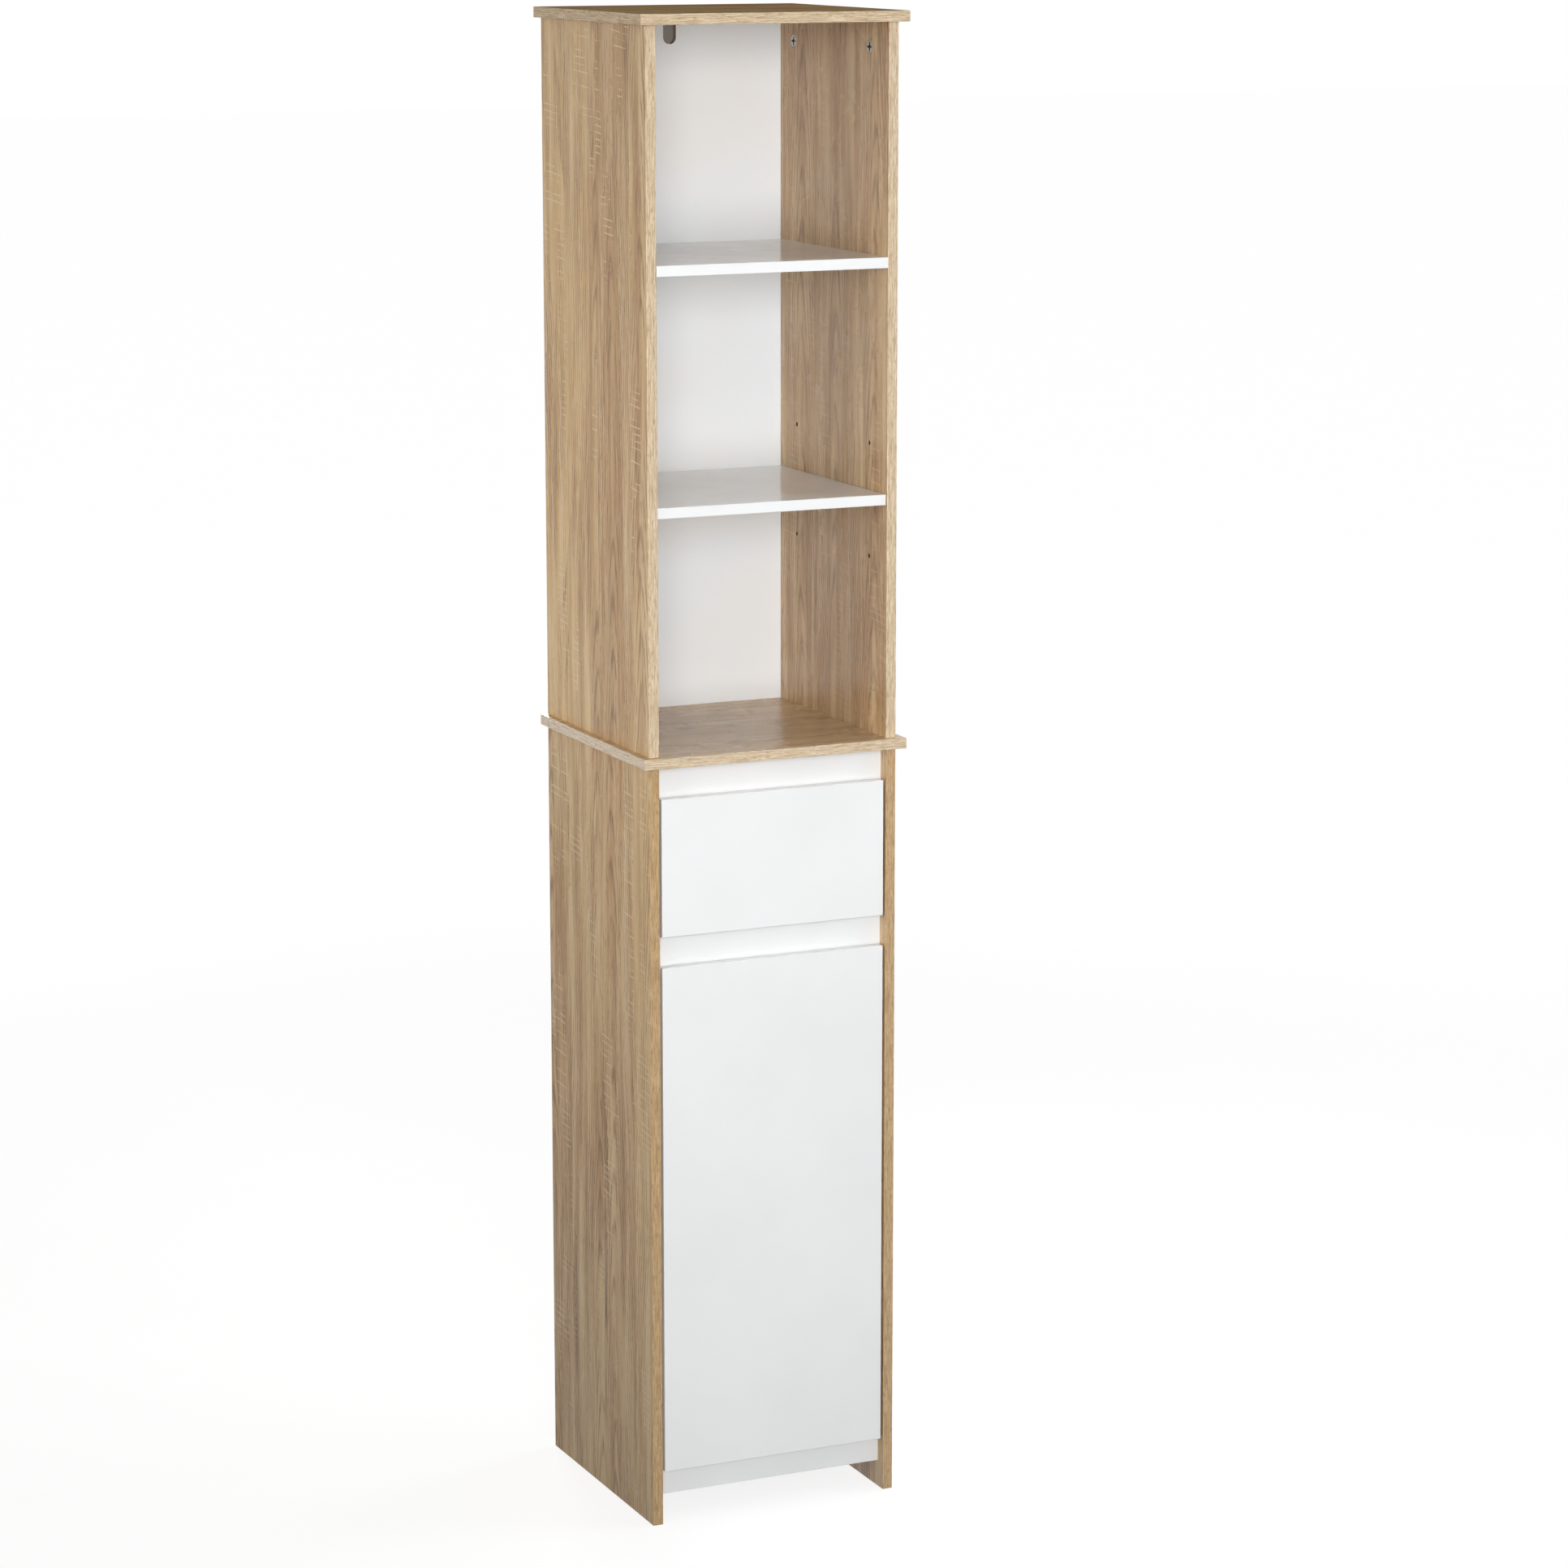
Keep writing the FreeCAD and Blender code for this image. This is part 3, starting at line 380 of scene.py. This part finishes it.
def white_material(node):
    """White satin melamine on the outside and raw core in the holes."""
    low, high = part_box(node)
    tree = Tree("white_" + node)
    position = tree.position()
    place = tree.split(position)
    near = [near_planes(tree, place[axis], low[axis], high[axis], melamine_layer) for axis in (X, Y, Z)]
    outside = tree.math("MAXIMUM", tree.math("MAXIMUM", near[X], near[Y]), near[Z])
    cloud = tree.noise(position, scale=6.0, detail=3.0)
    grain = tree.noise(position, scale=750.0)
    colour = tree.blend(tree.ease(cloud, 0.30, 0.72), white_board, white_shade)
    colour = tree.tint(colour, white_shade, tree.ease(grain, 0.55, 0.80), 0.25)
    colour = tree.blend(outside, chipboard(tree, position), colour)
    smear = tree.noise(position, scale=14.0, detail=4.0, roughness=0.6)
    tree.bump(grain, strength=0.10, distance=0.0001)
    return tree.finish(colour, tree.between(smear, 0.10, 0.22))


def hardboard_material(node, normal_axis, raw_side):
    """Thin board, lacquered white on one face and raw fibre with a screen pattern on the other."""
    low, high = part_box(node)
    tree = Tree("hardboard_" + node)
    position = tree.position()
    place = tree.split(position)
    middle = (low[normal_axis] + high[normal_axis]) / 2
    test = "GREATER_THAN" if raw_side > 0 else "LESS_THAN"
    raw = tree.math(test, place[normal_axis], middle)
    cloud = tree.noise(position, scale=5.0, detail=3.0)
    lacquer = tree.blend(tree.ease(cloud, 0.3, 0.7), lacquer_white, white_shade)
    fibre = tree.noise(position, scale=260.0, detail=4.0, roughness=0.65)
    blotch = tree.noise(position, scale=18.0, detail=3.0)
    brown = tree.blend(tree.ease(fibre, 0.35, 0.68), fibre_dark, fibre_light)
    brown = tree.tint(brown, fibre_light, blotch, 0.4)
    others = [axis for axis in (X, Y, Z) if axis != normal_axis]
    angles = [tree.math("MULTIPLY", place[axis], 2 * math.pi / screen_pitch) for axis in others]
    waves = [tree.math("SINE", angle) for angle in angles]
    screen = tree.math("MULTIPLY", tree.math("MULTIPLY", waves[0], waves[1]), raw)
    relief = tree.math("ADD", screen, tree.math("MULTIPLY", fibre, 0.6))
    tree.bump(relief, strength=0.25, distance=0.0002)
    smear = tree.noise(position, scale=14.0, detail=3.0)
    dull = tree.math("MULTIPLY", raw, 0.35)
    rough = tree.math("ADD", tree.between(smear, 0.34, 0.48), dull)
    return tree.finish(tree.blend(raw, lacquer, brown), rough)


def paint_shade_in_recesses(tree, colour, reach, inside):
    """Paints shade into a colour in narrow slots or, looking inside, near the rims of a piece."""
    occlusion = tree.add("AmbientOcclusion", {"Distance": reach}, inside=inside, only_local=True)
    # Painted shade: the colour goes dark where the piece's own faces close in within the reach
    return tree.blend(tree.ease(occlusion.outputs["AO"], 0.90, 0.55), colour, painted_shade)


def metal_material(name, bright, dark, roughness, scale, slot_reach=slot_shade_reach, rim_reach=None):
    """Plated or cast metal, cloudy and slightly scratched, with painted shade in its slots."""
    tree = Tree(name)
    position = tree.position()
    across, deep, along = tree.split(position)
    cloud = tree.noise(position, scale, detail=4.0, roughness=0.6)
    scratch = tree.grain((along, deep, across), long=0.006, wide=0.0004)
    colour = tree.blend(tree.ease(cloud, 0.30, 0.72), bright, dark)
    # Painted shade in the slots, and also along the rims where a rim reach is given
    colour = paint_shade_in_recesses(tree, colour, slot_reach, False)
    if rim_reach:
        colour = paint_shade_in_recesses(tree, colour, rim_reach, True)
    tree.bump(scratch, strength=0.12, distance=0.0001)
    return tree.finish(colour, tree.between(cloud, roughness, roughness + 0.22), 1.0)


def coated_material(name, light, dark, roughness, scale):
    """Paint, moulded plastic or sintered ferrite with a fine skin."""
    tree = Tree(name)
    position = tree.position()
    cloud = tree.noise(position, scale=30.0, detail=3.0)
    skin = tree.noise(position, scale)
    colour = tree.blend(tree.ease(cloud, 0.30, 0.72), light, dark)
    tree.bump(skin, strength=0.15, distance=0.0001)
    return tree.finish(colour, tree.between(skin, roughness, roughness + 0.18))


def beech_material():
    """Raw beech with small flecks."""
    tree = Tree("beech")
    position = tree.position()
    fleck = tree.noise(position, scale=700.0)
    cloud = tree.noise(position, scale=60.0, detail=3.0)
    colour = tree.blend(tree.ease(cloud, 0.3, 0.7), beech_light, beech_dark)
    colour = tree.tint(colour, beech_fleck, tree.ease(fleck, 0.58, 0.72), 0.5)
    tree.bump(fleck, strength=0.2, distance=0.0002)
    return tree.finish(colour, tree.between(fleck, 0.55, 0.75))


def oak_boards():
    """How the decor lies on each oak board."""
    upper_marks = (
        Mark(depth=0.249, height=1.576, length=0.190, width=0.017, lean=0.175),
        Mark(depth=0.238, height=1.060, length=0.110, width=0.011, lean=-0.245),
        Mark(depth=0.237, height=0.971, length=0.070, width=0.009, lean=-0.210),
    )
    lower_marks = (
        Mark(depth=0.241, height=0.781, length=0.075, width=0.008),
        Mark(depth=0.238, height=0.710, length=0.045, width=0.007),
        Mark(depth=0.136, height=0.430, length=0.190, width=0.016, lean=0.125),
        Mark(depth=0.135, height=0.290, length=0.260, width=0.011),
        Mark(depth=0.229, height=0.210, length=0.240, width=0.015),
    )
    left = {"grain": Z, "thickness": X, "seam": left_seam, "ticks": 0.75}
    right = {"grain": Z, "thickness": X, "seam": right_seam, "ticks": 0.35, "satin": 0.40}
    level = {"grain": X, "thickness": Z, "band": pale_band, "ticks": 0.50}
    return {
        "upper_side_left": Board(**left, seed=11.6, band=pale_band, satin=0.14, marks=upper_marks),
        "upper_side_right": Board(**right, seed=35.8, band=pale_band),
        "lower_side_left": Board(**left, seed=47.2, band=brown_band, satin=0.08, marks=lower_marks),
        "lower_side_right": Board(**right, seed=4.0, band=brown_band),
        "top_panel": Board(**level, seam=left_seam, seed=5.0, satin=0.0),
        "mid_panel": Board(**level, seam=right_seam, seed=1.0, satin=0.60),
    }


def shared_materials():
    """The materials that several pieces share, by the slot they belong to."""
    return {
        "zinc_alloy": metal_material("zinc_alloy", zinc_bright, zinc_dark,
                                     roughness=0.30, scale=260.0),
        "bright_steel": metal_material("bright_steel", steel_bright, steel_dark,
                                       roughness=0.18, scale=180.0),
        "white_steel": coated_material("white_steel", white_board, powder_shade,
                                       roughness=0.30, scale=1500.0),
        "white_plastic": coated_material("white_plastic", white_shade, plastic_shade,
                                         roughness=0.36, scale=1100.0),
        "grey_steel": coated_material("grey_steel", paint_light, paint_dark,
                                      roughness=0.40, scale=900.0),
        "ferrite": coated_material("ferrite", ferrite_light, ferrite_dark,
                                   roughness=0.50, scale=700.0),
        "beech": beech_material(),
    }


def dress_cabinet():
    """Gives every node of the frame its material."""
    boards = oak_boards()
    # The cam locks get wider painted shade in their slots and painted shade along their rims
    cam_zinc = metal_material("cam_zinc", zinc_bright, zinc_dark, roughness=0.30, scale=260.0,
                              slot_reach=cam_slot_shade_reach, rim_reach=cam_rim_shade_reach)
    shared = shared_materials()
    for part in frame["record"]["subparts"]:
        node, slot = part["node"], part["material_slot"]
        if slot == "oak_laminate":
            material = oak_material(node, boards[node])
        elif slot == "white_laminate":
            material = white_material(node)
        elif slot == "white_hardboard":
            lying = node == "drawer_bottom"
            material = hardboard_material(node, Z if lying else Y, -1 if lying else 1)
        elif node in ("cam_locks", "drawer_cam_locks"):
            material = cam_zinc
        else:
            material = shared[slot]
        slots = frame["nodes"][node].data.materials
        slots.clear()
        slots.append(material)


def seen_ray(tree):
    """1 for rays that show the backdrop: from the camera, by mirror reflection or through glass."""
    path = tree.add("LightPath", {}).outputs
    seen = tree.math("MAXIMUM", path["Is Camera Ray"], path["Is Glossy Ray"])
    return tree.math("MAXIMUM", seen, path["Is Transmission Ray"])


def make_floor():
    """A wide pale floor that looks white but keeps the shadow."""
    low, high = -floor_reach, floor_reach
    corners = [(low, low, 0), (high, low, 0), (high, high, 0), (low, high, 0)]
    mesh = bpy.data.meshes.new("floor")
    mesh.from_pydata(corners, [], [(0, 1, 2, 3)])
    floor = bpy.data.objects.new("floor", mesh)
    bpy.context.scene.collection.objects.link(floor)
    tree = Tree("floor")
    position = tree.position()
    place = tree.split(position)
    speck = tree.noise(position, scale=3.0, detail=3.0)
    mesh.materials.append(tree.finish(tree.blend(speck, floor_light, floor_dark), roughness=0.9))
    tree.shader.inputs["Specular IOR Level"].default_value = 0.0
    tree.shader.inputs["Emission Color"].default_value = rgba(pure_white)
    away = tree.ease(tree.reach(place[X], place[Y]), near_floor, far_floor)
    glow = tree.between(away, near_floor_glow, far_floor_glow)
    tree.feed(tree.shader.inputs["Emission Strength"], tree.math("MULTIPLY", seen_ray(tree), glow))


def make_world():
    """A white backdrop, and a soft light that is strongest from the front and weaker from above."""
    world = bpy.data.worlds.new("studio")
    bpy.context.scene.world = world
    tree = Tree("studio", world)
    tree.nodes.clear()
    toward = tree.split(tree.add("TexCoord", {}).outputs["Generated"])
    overhead = tree.math("ABSOLUTE", toward[Z])
    behind = tree.between(toward[Y], 0.5, 1.0)
    level = tree.between(overhead, ambient_level, ambient_level * overhead_share)
    strength = tree.math("MULTIPLY", level, tree.between(behind, 1.0, rear_share))
    light = tree.add("Background", {"Color": rgba(pure_white), "Strength": strength})
    backdrop = tree.add("Background", {"Color": rgba(pure_white)})
    mix = tree.add("MixShader", {"Fac": seen_ray(tree), 1: light.outputs[0], 2: backdrop.outputs[0]})
    tree.add("OutputWorld", {"Surface": mix.outputs[0]})


def softbox(name, place, target, size, spread, power):
    """A large soft lamp aimed at a point."""
    lamp = bpy.data.lights.new(name, "AREA")
    lamp.size = size
    lamp.spread = math.radians(spread)
    lamp.energy = power
    holder = bpy.data.objects.new(name, lamp)
    holder.location = place
    holder.rotation_euler = (Vector(target) - Vector(place)).to_track_quat("-Z", "Y").to_euler()
    bpy.context.scene.collection.objects.link(holder)


def make_lamps():
    """A strong lamp in front, and weaker ones at the left, the right and the rear."""
    softbox("front", place=(-1.65, -5.0, 1.62), target=(0.0, 0.0, 1.25), size=2.4, spread=60.0, power=29.8)
    softbox("left", place=(-2.8, -0.6, 1.5), target=(0.0, 0.0, 1.15), size=1.4, spread=46.0, power=3.6)
    softbox("right", place=(2.6, -0.9, 2.0), target=(0.0, 0.0, 1.35), size=1.6, spread=120.0, power=15.0)
    softbox("side", place=(2.8, 0.9, 1.6), target=(0.16, 0.1, 0.9), size=1.4, spread=70.0, power=6.0)
    softbox("rear", place=(0.6, 3.4, 1.9), target=(0.0, 0.15, 0.9), size=1.0, spread=70.0, power=8.5)


def make_camera():
    """The camera at the photograph's viewing angle."""
    ahead = Vector((math.sin(camera_turn), math.cos(camera_turn), 0.0))
    right = Vector((math.cos(camera_turn), -math.sin(camera_turn), 0.0))
    data = bpy.data.cameras.new("camera")
    data.sensor_width = sensor_size
    data.lens = focal_pixels / picture_pixels * sensor_size
    camera = bpy.data.objects.new("camera", data)
    start = Vector((0.0, front_edge, camera_height))
    camera.location = start - camera_distance * ahead + camera_aside * right
    gaze = ahead * math.cos(camera_tilt) - Vector((0.0, 0.0, math.sin(camera_tilt)))
    camera.rotation_euler = gaze.to_track_quat("-Z", "Y").to_euler()
    bpy.context.scene.collection.objects.link(camera)
    bpy.context.scene.camera = camera


dress_cabinet()
make_floor()
make_world()
make_lamps()
make_camera()
bpy.context.scene.view_settings.view_transform = "Standard"
